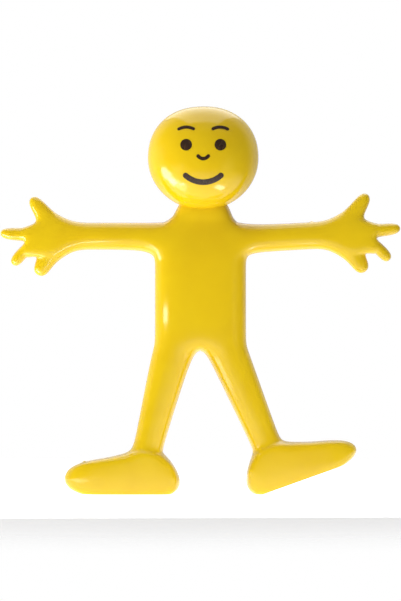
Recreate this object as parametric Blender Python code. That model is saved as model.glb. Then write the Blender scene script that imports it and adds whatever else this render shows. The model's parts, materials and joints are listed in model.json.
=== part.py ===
"""Bendy doll: a soft vinyl figure moulded over two bendable steel wires, with a ball head and printed face.

Metres, +Z up, front towards -Y. Left and right are the doll's own sides, so its right hand is at -X.
The vinyl skin is one cage, box modelled and subdivided, then cut square to the limbs at every bend zone.
"""

import math

import bmesh
import bpy
from mathutils import Vector
from mathutils.geometry import interpolate_bezier

# Head
HEAD_WIDTH = 0.0288
HEAD_DEPTH = 0.0240
HEAD_HEIGHT = 0.0269
HEAD_OVER_SHOULDERS = 0.0033  # from the top of the arms up to the lowest point of the head
HEAD_ASIDE = 0.0007  # towards the doll's left
CROWN_FULLNESS = 2.2  # how full the ball is above its middle, where 2 is a plain ball

# Trunk
BODY_BACK = 0.0015  # the trunk and limbs lie this far behind the head's middle
CHEST_WIDTH = 0.0236
CHEST_DEPTH = 0.0100
CHEST_LENGTH = 0.0284  # from the middle of the arms down to the crotch
WAIST_BELOW_ARMS = 0.0160
NECK_WIDTH = 0.0133
NECK_DEPTH = 0.0088
NECK_ROOT_WIDTH = 0.0136
NECK_ROOT_RISE = 0.0007
PLUG_WIDTH = 0.0080  # the plug on the neck that enters the head
PLUG_DEPTH = 0.0056
PLUG_LENGTH = 0.0034

# Arms
ARM_SPAN = 0.1051  # from fingertip to fingertip, before the tips are rounded
ARM_DIAMETER = 0.0070
ARM_SHARES = (0.18, 0.45, 0.37)  # chest to shoulder, shoulder to elbow, elbow to wrist
ARM_RISE_RIGHT = 0.0  # degrees above level
ARM_RISE_LEFT = 3.0
ARM_DROP_LEFT = 0.0006  # the left arm leaves the chest this much lower
ARMPIT_FILLET = 0.0014

# Hands, along the arm from the wrist and across it towards the thumb
HAND_THICKNESS = 0.0058
PALM_LENGTH = 0.0148
PALM_WIDTH = 0.0080
PALM_DROP = 0.0016
THUMB_ROOT_SHARES = (0.63, 0.60)  # roots in shares of the palm's length and width
THUMB_REACH = (0.0043, 0.0056)  # from root to tip
THUMB_WIDTH = 0.0038
FIRST_FINGER_ROOT_SHARES = (1.06, 0.05)
FIRST_FINGER_REACH = (0.0061, 0.0004)
FIRST_FINGER_WIDTH = 0.0031
SECOND_FINGER_ROOT_SHARES = (1.05, -0.53)
SECOND_FINGER_REACH = (0.0028, -0.0034)
SECOND_FINGER_WIDTH = 0.0030
LAST_FINGER_ROOT_SHARES = (0.62, -0.72)
LAST_FINGER_REACH = (0.0026, -0.0047)
LAST_FINGER_WIDTH = 0.0042
FINGER_THICKNESS = 0.0038

# Legs
HIP_FLARE = 0.0020  # how far the hip lies outside the middle of its half of the trunk
HIP_BELOW_CROTCH = 0.0036
THIGH_WIDTH = 0.0101
THIGH_DEPTH = 0.0088
ANKLE_WIDTH = 0.0077
ANKLE_DEPTH = 0.0078
LEG_LENGTH = 0.0242  # hip centre to ankle centre
LEG_SPREAD_RIGHT = 14.0  # degrees outwards from straight down
LEG_SPREAD_LEFT = 22.7
ANKLE_ABOVE_SOLE = 0.01158

# Feet, along the sole from the heel and up from the sole
FOOT_LENGTH = 0.0297
FOOT_WIDTH = 0.0104
ANKLE_FROM_HEEL = 0.0082
TOE_HEIGHT_RIGHT = 0.0076
TOE_HEIGHT_LEFT = 0.0057
TOE_WIDTH = 0.0088
HEEL_HEIGHT = 0.0048
LEDGE_DROP = 0.0009  # a ledge runs round the foot this far below the ankle's centre
LEDGE_FORWARD = 0.0003  # its middle lies this far in front of the ankle's centre
LEDGE_LENGTH = 0.0096
TOE_LIFT = 0.0012  # rounding under the toe and the heel
HEEL_LIFT = 0.0020
SOLE_TRIM = 0.0010  # cut off the rounded underside to leave the flat sole
FOOT_PITCH_RIGHT = 0.0  # degrees by which the toe is raised
FOOT_PITCH_LEFT = 19.7

# Half lengths of the bend zones, those of the arm in shares of its length
NECK_ZONE = 0.0014
WAIST_ZONE = 0.0023
SHOULDER_ZONE_SHARE = 0.17
ELBOW_ZONE_SHARE = 0.13
WRIST_ZONE_SHARE = 0.10
HIP_ZONE = 0.0047
KNEE_ZONE = 0.0034
ANKLE_ZONE = 0.0018

# Wires
WIRE_DIAMETER = 0.0012
WIRE_CLEARANCE = 0.0003
WIRE_BREAK = 0.0007  # each wire length stops this far from its bend centre
NECK_BREAK = 0.0012
SPINE_SPREAD = 0.0026  # between the two strands of the body wire in the trunk
WIRES_APART = 0.0021  # the arm wire bows forwards by this where it crosses the body wire in the chest
EYELET_RADIUS = 0.0019
HEAD_LOOP_HEIGHT = 0.0125
FOOT_WIRE_DEPTH = 0.0082  # below the ankle centre, where the body wire turns towards the toe
FOOT_WIRE_RUN = 0.0090
EYELET_TURN = 270  # degrees
EYELET_STEPS = 9
LOOP_STEPS = 8

# Face print
PRINT_THICKNESS = 0.0003
EYE_RADIUS = 0.0015
EYE_OUT = 0.0044
EYE_UP = 0.0030
BROW_RADIUS = 0.0040
BROW_UP = 0.0036  # middle of the brow's arc above the head's middle
BROW_WIDTH = 0.0008
BROW_ARC = (62, 118)  # degrees from the doll's left towards the top
NOSE_RADIUS = 0.0016
NOSE_DOWN = 0.0006
NOSE_WIDTH = 0.0009
NOSE_ARC = (215, 325)
MOUTH_RADIUS = 0.0068
MOUTH_WIDTH = 0.0014
MOUTH_UP = 0.0002
MOUTH_ARC = (228, 312)
STROKE_END_TURNS = (25, 60)  # degrees round the rounded end of a stroke

GAP = 0.0003  # between pieces that touch

# Rounded limit of a subdivided cage: four-sided rings keep this share of their size
RING_SHARE = 0.925
TRUNK_SHARE = 0.958
TIGHT_SHARE = 1.0  # with tight corners
CREASE_SHARE = 0.40  # how tight the long edges of the feet are
SUBDIVISIONS = 2
SHARP_ANGLE = math.radians(40)
TUBE_SIDES = 8
HEAD_MERIDIANS = 28
HEAD_RINGS = 18
PLUG_SIDES = 20

BACK = Vector((0.0, 1.0, 0.0))
UP = Vector((0.0, 0.0, 1.0))
RIGHT_SIDE = -1
LEFT_SIDE = 1
SIDES = {"right": RIGHT_SIDE, "left": LEFT_SIDE}
ARM_RISE = {RIGHT_SIDE: ARM_RISE_RIGHT, LEFT_SIDE: ARM_RISE_LEFT}
ARM_DROP = {RIGHT_SIDE: 0.0, LEFT_SIDE: ARM_DROP_LEFT}
LEG_SPREAD = {RIGHT_SIDE: LEG_SPREAD_RIGHT, LEFT_SIDE: LEG_SPREAD_LEFT}
TOE_HEIGHT = {RIGHT_SIDE: TOE_HEIGHT_RIGHT, LEFT_SIDE: TOE_HEIGHT_LEFT}
FOOT_PITCH = {RIGHT_SIDE: FOOT_PITCH_RIGHT, LEFT_SIDE: FOOT_PITCH_LEFT}

# Heights add up from the level right sole
HIP_HEIGHT = ANKLE_ABOVE_SOLE + LEG_LENGTH * math.cos(math.radians(LEG_SPREAD_RIGHT))
CROTCH_HEIGHT = HIP_HEIGHT + HIP_BELOW_CROTCH
ARM_HEIGHT = CROTCH_HEIGHT + CHEST_LENGTH
ARM_TOP = ARM_HEIGHT + ARM_DIAMETER / 2
HIP_OUT = CHEST_WIDTH / 4 + HIP_FLARE
HAND_LENGTH = PALM_LENGTH * FIRST_FINGER_ROOT_SHARES[0] + FIRST_FINGER_REACH[0]
ARM_LENGTH = ARM_SPAN / 2 - CHEST_WIDTH / 2 - HAND_LENGTH
SHOULDER_OUT = CHEST_WIDTH / 2 + ARM_LENGTH * ARM_SHARES[0]
ELBOW_OUT = SHOULDER_OUT + ARM_LENGTH * ARM_SHARES[1]
WRIST_OUT = ELBOW_OUT + ARM_LENGTH * ARM_SHARES[2]
SHOULDER_ZONE = ARM_LENGTH * SHOULDER_ZONE_SHARE
ELBOW_ZONE = ARM_LENGTH * ELBOW_ZONE_SHARE
WRIST_ZONE = ARM_LENGTH * WRIST_ZONE_SHARE
NECK_TOP = ARM_TOP + HEAD_OVER_SHOULDERS + PLUG_LENGTH
HEAD_CENTRE = Vector((HEAD_ASIDE, 0.0, ARM_TOP + HEAD_OVER_SHOULDERS + HEAD_HEIGHT / 2))
HEAD_RADII = Vector((HEAD_WIDTH / 2, HEAD_DEPTH / 2, HEAD_HEIGHT / 2))


def place(x, z, y=0.0):
    """A point in the plane of the trunk and limbs, or y behind it."""
    return Vector((x, BODY_BACK + y, z))


def clear_scene():
    for item in list(bpy.data.objects):
        bpy.data.objects.remove(item, do_unlink=True)


def make_material(name, colour, roughness, metallic=0.0):
    material = bpy.data.materials.new(name)
    material.use_nodes = True
    shader = material.node_tree.nodes["Principled BSDF"]
    shader.inputs["Base Color"].default_value = (*colour, 1.0)
    shader.inputs["Roughness"].default_value = roughness
    shader.inputs["Metallic"].default_value = metallic
    return material


def make_object(name, body, material):
    """One named object from a bmesh, shaded smooth except at its cut faces."""
    mesh = bpy.data.meshes.new(name)
    body.to_mesh(mesh)
    body.free()
    mesh.shade_smooth()
    mesh.set_sharp_from_angle(angle=SHARP_ANGLE)
    if material:
        mesh.materials.append(material)
    piece = bpy.data.objects.new(name, mesh)
    bpy.context.scene.collection.objects.link(piece)
    return piece


def make_cutter(name, body):
    cutter = make_object(name, body, None)
    cutter.hide_render = True
    cutter.display_type = "WIRE"
    return cutter


def cut_out(piece, cutter):
    boolean = piece.modifiers.new("cut_" + cutter.name, "BOOLEAN")
    boolean.object = cutter
    boolean.operation = "DIFFERENCE"
    boolean.solver = "EXACT"


# Bend centres and directions


def arm_direction(side):
    rise = math.radians(ARM_RISE[side])
    return Vector((side * math.cos(rise), 0.0, math.sin(rise)))


def arm_point(side, out):
    """A point on the arm's middle line, by its distance from the middle of the chest."""
    shoulder = place(side * SHOULDER_OUT, ARM_HEIGHT - ARM_DROP[side])
    return shoulder + arm_direction(side) * (out - SHOULDER_OUT)


def leg_direction(side):
    spread = math.radians(LEG_SPREAD[side])
    return Vector((side * math.sin(spread), 0.0, -math.cos(spread)))


def leg_point(side, down):
    hip = place(side * HIP_OUT, HIP_HEIGHT)
    return hip + leg_direction(side) * down


def foot_axes(side):
    """Directions of the foot: from heel to toe, and up from the sole."""
    pitch = math.radians(FOOT_PITCH[side])
    forward = Vector((side * math.cos(pitch), 0.0, math.sin(pitch)))
    upward = Vector((-side * math.sin(pitch), 0.0, math.cos(pitch)))
    return forward, upward


def foot_point(side, from_heel, above_sole):
    forward, upward = foot_axes(side)
    ankle = leg_point(side, LEG_LENGTH)
    return ankle + forward * (from_heel - ANKLE_FROM_HEEL) + upward * (above_sole - ANKLE_ABOVE_SOLE)


class Bend:
    """A bend zone: its centre, the direction from the trunk outwards, and its half length."""

    def __init__(self, centre, along, half):
        self.centre = centre
        self.along = along
        self.half = half

    def plane(self, share, clearance):
        """Point on the plane square to the limb at a share of the half zone, moved out by the clearance."""
        return self.centre + self.along * (share * self.half + clearance)


def make_bends():
    bends = {
        "neck": Bend(place(0.0, ARM_TOP + NECK_ZONE + GAP), UP, NECK_ZONE),
        "waist": Bend(place(0.0, ARM_HEIGHT - WAIST_BELOW_ARMS), UP, WAIST_ZONE),
    }
    for name, side in SIDES.items():
        arm = arm_direction(side)
        leg = leg_direction(side)
        knee_down = (LEG_LENGTH + HIP_ZONE - ANKLE_ZONE) / 2
        bends["shoulder_" + name] = Bend(arm_point(side, SHOULDER_OUT), arm, SHOULDER_ZONE)
        bends["elbow_" + name] = Bend(arm_point(side, ELBOW_OUT), arm, ELBOW_ZONE)
        bends["wrist_" + name] = Bend(arm_point(side, WRIST_OUT), arm, WRIST_ZONE)
        bends["hip_" + name] = Bend(leg_point(side, 0.0), leg, HIP_ZONE)
        bends["knee_" + name] = Bend(leg_point(side, knee_down), leg, KNEE_ZONE)
        bends["ankle_" + name] = Bend(leg_point(side, LEG_LENGTH), leg, ANKLE_ZONE)
    return bends


# Vinyl skin cage


def trunk_ring(cage, z, half_wide, half_deep, aside=0.0):
    """Six corners round the trunk, from front right round by the left to the back."""
    corners = (
        (-half_wide, -half_deep),
        (0.0, -half_deep),
        (half_wide, -half_deep),
        (half_wide, half_deep),
        (0.0, half_deep),
        (-half_wide, half_deep),
    )
    return [cage.verts.new(place(x + aside, z, y)) for x, y in corners]


def build_trunk(cage):
    """The trunk from crotch to neck plug. Returns the faces that the arms and legs grow from."""
    half_wide = CHEST_WIDTH / 2 / TRUNK_SHARE
    half_deep = CHEST_DEPTH / 2
    half_arm = ARM_DIAMETER / 2 / RING_SHARE
    rows = (
        (CROTCH_HEIGHT, half_wide, half_deep),
        (CROTCH_HEIGHT + CHEST_DEPTH / 2, half_wide, half_deep),
        (ARM_HEIGHT - half_arm - ARM_DIAMETER / 2, half_wide, half_deep),
        (ARM_HEIGHT - half_arm - ARMPIT_FILLET, half_wide, half_deep),
        (ARM_HEIGHT + half_arm, half_wide, half_arm),
        (ARM_TOP + NECK_ROOT_RISE, NECK_ROOT_WIDTH / 2 / TRUNK_SHARE, NECK_DEPTH / 2, HEAD_ASIDE),
        (NECK_TOP, NECK_WIDTH / 2 / TRUNK_SHARE, NECK_DEPTH / 2, HEAD_ASIDE),
    )
    rings = [trunk_ring(cage, *row) for row in rows]
    walls = []
    for lower, upper in zip(rings, rings[1:]):
        turns = range(len(lower))
        walls.append([cage.faces.new((lower[k - 1], lower[k], upper[k], upper[k - 1])) for k in turns])
    base = rings[0]
    top = rings[-1]
    cage.faces.new((top[0], top[1], top[4], top[5]))
    cage.faces.new((top[1], top[2], top[3], top[4]))
    arm_row = walls[3]
    return {
        ("arm", RIGHT_SIDE): arm_row[0],
        ("arm", LEFT_SIDE): arm_row[3],
        ("leg", RIGHT_SIDE): cage.faces.new((base[0], base[5], base[4], base[1])),
        ("leg", LEFT_SIDE): cage.faces.new((base[1], base[4], base[3], base[2])),
    }


def extend(cage, face, centre, along, width, depth, share=RING_SHARE):
    """Extrude a four-sided face to a new rectangle, square to a direction in the doll's plane."""
    end = bmesh.ops.extrude_discrete_faces(cage, faces=[face])["faces"][0]
    across = along.cross(BACK)
    middle = end.calc_center_median()
    for corner in end.verts:
        offset = corner.co - middle
        side = math.copysign(width / 2 / share, offset.dot(across))
        deep = math.copysign(depth / 2 / share, offset.y)
        corner.co = centre + across * side + BACK * deep
    return end


def build_hand(cage, wrist_face, side):
    arm = arm_direction(side)
    across = Vector((-side * arm.z, 0.0, side * arm.x))
    wrist = arm_point(side, WRIST_OUT)

    def spot(along_arm, towards_thumb):
        return wrist + arm * along_arm + across * towards_thumb

    def root_of(shares):
        return spot(PALM_LENGTH * shares[0], PALM_WIDTH * shares[1])

    heel = extend(cage, wrist_face, spot(WRIST_ZONE, 0.0), arm, ARM_DIAMETER, HAND_THICKNESS)
    before = set(cage.faces)
    end = extend(cage, heel, spot(PALM_LENGTH, -PALM_DROP), arm, PALM_WIDTH, HAND_THICKNESS)
    palm_sides = [face for face in cage.faces if face not in before and face is not end]
    thumb_face = max(palm_sides, key=lambda face: face.calc_center_median().dot(across))
    last_face = min(palm_sides, key=lambda face: face.calc_center_median().dot(across))
    upright = [edge for edge in end.edges if abs((edge.verts[0].co - edge.verts[1].co).y) < GAP]
    bmesh.ops.subdivide_edges(cage, edges=upright, cuts=1)
    tip_side = max(face.calc_center_median().dot(arm) for face in cage.faces)
    halves = [face for face in cage.faces if face.calc_center_median().dot(arm) > tip_side - GAP]
    first_face = max(halves, key=lambda face: face.calc_center_median().dot(across))
    second_face = min(halves, key=lambda face: face.calc_center_median().dot(across))
    digits = (
        (thumb_face, THUMB_ROOT_SHARES, THUMB_REACH, THUMB_WIDTH),
        (first_face, FIRST_FINGER_ROOT_SHARES, FIRST_FINGER_REACH, FIRST_FINGER_WIDTH),
        (second_face, SECOND_FINGER_ROOT_SHARES, SECOND_FINGER_REACH, SECOND_FINGER_WIDTH),
        (last_face, LAST_FINGER_ROOT_SHARES, LAST_FINGER_REACH, LAST_FINGER_WIDTH),
    )
    for face, root_shares, reach, width in digits:
        root = root_of(root_shares)
        tip = root + arm * reach[0] + across * reach[1]
        direction = (tip - root).normalized()
        knuckle = extend(cage, face, root, direction, width, FINGER_THICKNESS)
        extend(cage, knuckle, tip, direction, width, FINGER_THICKNESS)


def build_arm(cage, face, side):
    arm = arm_direction(side)
    root = extend(cage, face, arm_point(side, SHOULDER_OUT), arm, ARM_DIAMETER, ARM_DIAMETER)
    wrist = extend(cage, root, arm_point(side, WRIST_OUT - WRIST_ZONE), arm, ARM_DIAMETER, ARM_DIAMETER)
    build_hand(cage, wrist, side)


def tighten_long_edges(cage, side):
    """Crease the edges that run from heel to toe below the ankle."""
    creases = cage.edges.layers.float["crease_edge"]
    forward, upward = foot_axes(side)
    ankle = leg_point(side, LEG_LENGTH)
    for edge in cage.edges:
        offsets = [vert.co - ankle for vert in edge.verts]
        if max(offset.length for offset in offsets) > FOOT_LENGTH:
            continue
        span = offsets[1] - offsets[0]
        below = max(offset.dot(upward) for offset in offsets) < -LEDGE_DROP / 2
        if below and abs(span.dot(forward)) > span.length / 2:
            edge[creases] = CREASE_SHARE


def build_foot(cage, ankle_face, side):
    forward, upward = foot_axes(side)
    ledge = ANKLE_ABOVE_SOLE - LEDGE_DROP
    middle = ANKLE_FROM_HEEL + LEDGE_FORWARD
    toe_height = TOE_HEIGHT[side]

    def ring(face, from_heel, bottom, top, along, width):
        """An upright ring of the foot, from its bottom to its top above the sole."""
        centre = foot_point(side, from_heel, (bottom + top) / 2)
        return extend(cage, face, centre, along, top - bottom, width, TIGHT_SHARE)

    top = extend(
        cage, ankle_face, foot_point(side, middle, ledge), -upward, LEDGE_LENGTH, FOOT_WIDTH, TIGHT_SHARE
    )
    before = set(cage.faces)
    sole_middle = foot_point(side, middle, -SOLE_TRIM)
    sole = extend(cage, top, sole_middle, -upward, LEDGE_LENGTH, FOOT_WIDTH, TIGHT_SHARE)
    walls = [face for face in cage.faces if face not in before and face is not sole]
    toe_face = max(walls, key=lambda face: face.calc_center_median().dot(forward))
    heel_face = min(walls, key=lambda face: face.calc_center_median().dot(forward))
    arch = (middle + FOOT_LENGTH) / 2
    instep = ring(toe_face, arch, -SOLE_TRIM, (ledge + toe_height) / 2, forward, FOOT_WIDTH)
    ring(instep, FOOT_LENGTH + SOLE_TRIM, TOE_LIFT - SOLE_TRIM, toe_height, forward, TOE_WIDTH)
    ring(heel_face, -SOLE_TRIM / 2, HEEL_LIFT - SOLE_TRIM, HEEL_HEIGHT, -forward, FOOT_WIDTH)
    tighten_long_edges(cage, side)


def build_leg(cage, face, side):
    leg = leg_direction(side)
    thigh = extend(cage, face, leg_point(side, 0.0), leg, THIGH_WIDTH, THIGH_DEPTH)
    shin = extend(cage, thigh, leg_point(side, LEG_LENGTH - 2 * ANKLE_ZONE), leg, ANKLE_WIDTH, ANKLE_DEPTH)
    ankle = extend(cage, shin, leg_point(side, LEG_LENGTH), leg, ANKLE_WIDTH, ANKLE_DEPTH)
    build_foot(cage, ankle, side)


def build_skin():
    """The whole vinyl moulding as one subdivided mesh, the form that the bend zones are cut from."""
    cage = bmesh.new()
    cage.edges.layers.float.new("crease_edge")
    faces = build_trunk(cage)
    for side in SIDES.values():
        build_arm(cage, faces["arm", side], side)
        build_leg(cage, faces["leg", side], side)
    bmesh.ops.recalc_face_normals(cage, faces=cage.faces)
    form = make_cutter("skin_form", cage)
    rounding = form.modifiers.new("rounding", "SUBSURF")
    rounding.levels = SUBDIVISIONS
    rounding.render_levels = SUBDIVISIONS
    graph = bpy.context.evaluated_depsgraph_get()
    skin = bmesh.new()
    skin.from_mesh(form.evaluated_get(graph).to_mesh())
    return skin


def slice_off(body, point, outward):
    """Cut away what lies beyond the plane and close the cut flat."""
    geometry = body.verts[:] + body.edges[:] + body.faces[:]
    bmesh.ops.bisect_plane(
        body, geom=geometry, plane_co=point, plane_no=outward, clear_outer=True, dist=GAP / 1000
    )
    rim = [edge for edge in body.edges if edge.is_boundary]
    if rim:
        bmesh.ops.edgeloop_fill(body, edges=rim)


def keep_island(body, seed):
    """Drop every separate part but the one whose surface is nearest to the seed point."""
    start = min(body.faces, key=lambda face: (face.calc_center_median() - seed).length)
    kept = {start}
    edge_of_growth = [start]
    while edge_of_growth:
        face = edge_of_growth.pop()
        for edge in face.edges:
            for other in edge.link_faces:
                if other not in kept:
                    kept.add(other)
                    edge_of_growth.append(other)
    dropped = [face for face in body.faces if face not in kept]
    bmesh.ops.delete(body, geom=dropped, context="FACES")


def skin_piece(skin, name, cuts, seed, material):
    body = skin.copy()
    for point, outward in cuts:
        slice_off(body, point, outward)
    keep_island(body, seed)
    bmesh.ops.recalc_face_normals(body, faces=body.faces)
    return make_object(name, body, material)


def inner_cut(bend):
    """Ends a stretch where the bend zone beyond it starts."""
    return bend.plane(-1, -GAP / 2), bend.along


def outer_cut(bend):
    """Starts a stretch where the bend zone before it ends."""
    return bend.plane(1, GAP / 2), -bend.along


def zone_cuts(bend):
    """Both ends of the bend zone itself."""
    return [(bend.plane(1, -GAP / 2), bend.along), (bend.plane(-1, GAP / 2), -bend.along)]


def build_stretches(skin, bends, material):
    """The lengths of the moulding that stay straight, one piece for each."""
    pieces = {}
    chest_cuts = [outer_cut(bends["waist"]), inner_cut(bends["neck"])]
    pelvis_cuts = [inner_cut(bends["waist"])]
    for name in SIDES:
        chest_cuts.append(inner_cut(bends["shoulder_" + name]))
        pelvis_cuts.append(inner_cut(bends["hip_" + name]))
    chest_seed = (bends["waist"].centre + bends["neck"].centre) / 2
    pieces["chest"] = skin_piece(skin, "chest", chest_cuts, chest_seed, material)
    pelvis_seed = place(0.0, (CROTCH_HEIGHT + bends["waist"].centre.z) / 2)
    pieces["pelvis"] = skin_piece(skin, "pelvis", pelvis_cuts, pelvis_seed, material)
    runs = (
        ("upper_arm_", "shoulder_", "elbow_"),
        ("forearm_", "elbow_", "wrist_"),
        ("thigh_", "hip_", "knee_"),
        ("shin_", "knee_", "ankle_"),
    )
    for name, side in SIDES.items():
        for run, start, stop in runs:
            first = bends[start + name]
            last = bends[stop + name]
            cuts = [outer_cut(first), inner_cut(last)]
            seed = (first.centre + last.centre) / 2
            pieces[run + name] = skin_piece(skin, run + name, cuts, seed, material)
        wrist = bends["wrist_" + name]
        palm = wrist.centre + wrist.along * PALM_LENGTH / 2
        pieces["hand_" + name] = skin_piece(skin, "hand_" + name, [outer_cut(wrist)], palm, material)
        forward, upward = foot_axes(side)
        sole = foot_point(side, 0.0, 0.0)
        foot_cuts = [outer_cut(bends["ankle_" + name]), (sole, -upward), (place(0.0, 0.0), -UP)]
        instep = foot_point(side, FOOT_LENGTH / 2, HEEL_HEIGHT / 2)
        pieces["foot_" + name] = skin_piece(skin, "foot_" + name, foot_cuts, instep, material)
    return pieces


def hips_cross_at():
    """How far aside the planes at the tops of the two hip zones cross, just above the crotch."""
    right, left = (leg_direction(side) for side in SIDES.values())
    right_reach = right.dot(leg_point(RIGHT_SIDE, -HIP_ZONE))
    left_reach = left.dot(leg_point(LEFT_SIDE, -HIP_ZONE))
    return (right_reach * left.z - left_reach * right.z) / (right.x * left.z - left.x * right.z)


def build_zones(skin, bends, material):
    """The soft bend zones of the moulding."""
    pieces = {}
    for name, bend in bends.items():
        cuts = zone_cuts(bend)
        if name == "neck":
            cuts = cuts[1:]
        if name.startswith("hip_"):
            side = SIDES[name.removeprefix("hip_")]
            cuts.append((place(hips_cross_at() + side * GAP / 2, 0.0), Vector((-side, 0.0, 0.0))))
        pieces[name] = skin_piece(skin, name, cuts, bend.centre, material)
    return pieces


# Head


def fullness_at(z):
    """The rounding above or below the head's middle, where 2 is a plain ball."""
    return CROWN_FULLNESS if z > 0 else 2


def head_ball(clearance):
    """The head's form, grown all round by a clearance."""
    body = bmesh.new()
    tall = HEAD_RADII.z
    bmesh.ops.create_uvsphere(body, u_segments=HEAD_MERIDIANS, v_segments=HEAD_RINGS, radius=tall)
    for vert in body.verts:
        x, y, z = vert.co / tall
        fullness = fullness_at(z)
        swell = (math.hypot(x, y) ** fullness + abs(z) ** fullness) ** (-1 / fullness)
        vert.co = HEAD_CENTRE + Vector(a * swell * (b + clearance) for a, b in zip((x, y, z), HEAD_RADII))
    return body


def plug_column(name, clearance):
    """An upright oval column through the neck's middle that ends just above the plug."""
    body = bmesh.new()
    wide = PLUG_WIDTH / 2 + clearance
    bmesh.ops.create_cone(
        body, cap_ends=True, segments=PLUG_SIDES, radius1=wide, radius2=wide, depth=PLUG_LENGTH
    )
    for vert in body.verts:
        height = NECK_TOP + clearance if vert.co.z > 0 else ARM_TOP
        vert.co = place(vert.co.x, height, vert.co.y * (PLUG_DEPTH / 2 + clearance) / wide)
    return make_cutter(name, body)


def seat_head_on_neck(head, neck):
    """The neck ends at the head's underside, apart from a plug that enters a socket in the head."""
    head_space = make_cutter("head_space", head_ball(GAP))
    cut_out(head_space, plug_column("neck_plug_form", 0.0))
    cut_out(neck, head_space)
    cut_out(head, plug_column("plug_socket", GAP))


# Wires


def bend_between(start, corner, stop, steps=5):
    """Points of a smooth bend from start to stop that leaves and arrives along the lines to the corner."""
    return interpolate_bezier(start, start.lerp(corner, 2 / 3), stop.lerp(corner, 2 / 3), stop, steps + 1)


def eyelet(entry, along, across):
    """Points of a wire end turned most of the way round into an eye, starting at entry."""
    middle = entry + across * EYELET_RADIUS
    turns = [math.radians(EYELET_TURN) * step / EYELET_STEPS for step in range(EYELET_STEPS + 1)]
    return [middle + (along * math.sin(turn) - across * math.cos(turn)) * EYELET_RADIUS for turn in turns]


def make_tube(path, radius):
    """A closed tube round a path in the doll's plane, its rings square to the path."""
    body = bmesh.new()
    rings = []
    for index, point in enumerate(path):
        before = path[max(index - 1, 0)]
        after = path[min(index + 1, len(path) - 1)]
        tangent = (after - before).normalized()
        side = tangent.cross(BACK).normalized()
        front = side.cross(tangent)
        ring = []
        for corner in range(TUBE_SIDES):
            turn = math.pi * (2 * corner + 1) / TUBE_SIDES
            ring.append(body.verts.new(point + (side * math.cos(turn) + front * math.sin(turn)) * radius))
        rings.append(ring)
    for lower, upper in zip(rings, rings[1:]):
        for k in range(TUBE_SIDES):
            body.faces.new((lower[k - 1], lower[k], upper[k], upper[k - 1]))
    body.faces.new(reversed(rings[0]))
    body.faces.new(rings[-1])
    bmesh.ops.recalc_face_normals(body, faces=body.faces)
    return body


def trimmed(path, start_break, stop_break):
    """The path with a length taken off each end."""
    points = list(path)
    points[0] = points[0] + (points[1] - points[0]).normalized() * start_break
    points[-1] = points[-1] + (points[-2] - points[-1]).normalized() * stop_break
    return points


def arm_wire_runs(bends):
    """The arm wire's path, run by run, from the right palm to the left."""
    runs = {}
    for name, side in SIDES.items():
        shoulder = bends["shoulder_" + name].centre
        elbow = bends["elbow_" + name].centre
        wrist = bends["wrist_" + name].centre
        arm = arm_direction(side)
        across = Vector((-side * arm.z, 0.0, side * arm.x))
        palm = wrist + arm * PALM_LENGTH / 2 + across * (EYELET_RADIUS / 2)
        runs["wire_upper_arm_" + name] = [shoulder, elbow]
        runs["wire_forearm_" + name] = [elbow, wrist]
        runs["wire_hand_" + name] = [wrist] + eyelet(palm, arm, -across)
    ends = [bends["shoulder_" + name].centre for name in SIDES]
    bow = (ends[0] + ends[1]) / 2 - BACK * 2 * WIRES_APART
    runs["wire_chest_arms"] = bend_between(ends[0], bow, ends[1], 8)
    return runs


def body_wire_runs(bends):
    """The body wire's path, run by run: up each leg and the trunk, and over in the head."""
    runs = {}
    for name, side in SIDES.items():
        strand = Vector((side * SPINE_SPREAD / 2, 0.0, 0.0))
        neck = bends["neck"].centre + strand
        waist = bends["waist"].centre + strand
        hip = bends["hip_" + name].centre
        knee = bends["knee_" + name].centre
        ankle = bends["ankle_" + name].centre
        rise = (waist - hip).length / 3
        sway = (hip - leg_direction(side) * rise, waist - UP * rise)
        forward, upward = foot_axes(side)
        turn = ankle - upward * FOOT_WIRE_DEPTH
        run_end = turn + forward * FOOT_WIRE_RUN
        sole_bend = bend_between(ankle, turn, run_end)
        runs["wire_chest_" + name] = [waist, neck]
        runs["wire_pelvis_" + name] = interpolate_bezier(hip, *sway, waist, 7)
        runs["wire_thigh_" + name] = [knee, hip]
        runs["wire_shin_" + name] = [ankle, knee]
        runs["wire_foot_" + name] = sole_bend[:-1] + eyelet(run_end, forward, upward)
    loop = []
    radius = SPINE_SPREAD / 2
    foot = bends["neck"].centre
    top = foot + UP * HEAD_LOOP_HEIGHT
    for step in range(LOOP_STEPS + 1):
        turn = math.pi * step / LOOP_STEPS
        loop.append(top + Vector((-math.cos(turn), 0.0, math.sin(turn))) * radius)
    beside = Vector((radius, 0.0, 0.0))
    runs["wire_head_loop"] = [foot - beside] + loop + [foot + beside]
    return runs


# The runs of each wire from end to end, and whether each is followed forwards
ARM_WIRE_ORDER = (
    ("hand_right", False),
    ("forearm_right", False),
    ("upper_arm_right", False),
    ("chest_arms", True),
    ("upper_arm_left", True),
    ("forearm_left", True),
    ("hand_left", True),
)
BODY_WIRE_ORDER = (
    ("foot_right", False),
    ("shin_right", True),
    ("thigh_right", True),
    ("pelvis_right", True),
    ("chest_right", True),
    ("head_loop", True),
    ("chest_left", False),
    ("pelvis_left", False),
    ("thigh_left", False),
    ("shin_left", False),
    ("foot_left", True),
)


def wire_breaks(name):
    """How far a run stops short of the bend centre at its start and at its end."""
    if name == "wire_head_loop":
        return NECK_BREAK, NECK_BREAK
    if name.startswith("wire_chest_") and name != "wire_chest_arms":
        return WIRE_BREAK, NECK_BREAK
    if name.startswith(("wire_hand_", "wire_foot_")):
        return WIRE_BREAK, 0.0
    return WIRE_BREAK, WIRE_BREAK


def build_wires(runs, material):
    for name, path in runs.items():
        wire = make_tube(trimmed(path, *wire_breaks(name)), WIRE_DIAMETER / 2)
        make_object(name, wire, material)


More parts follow.
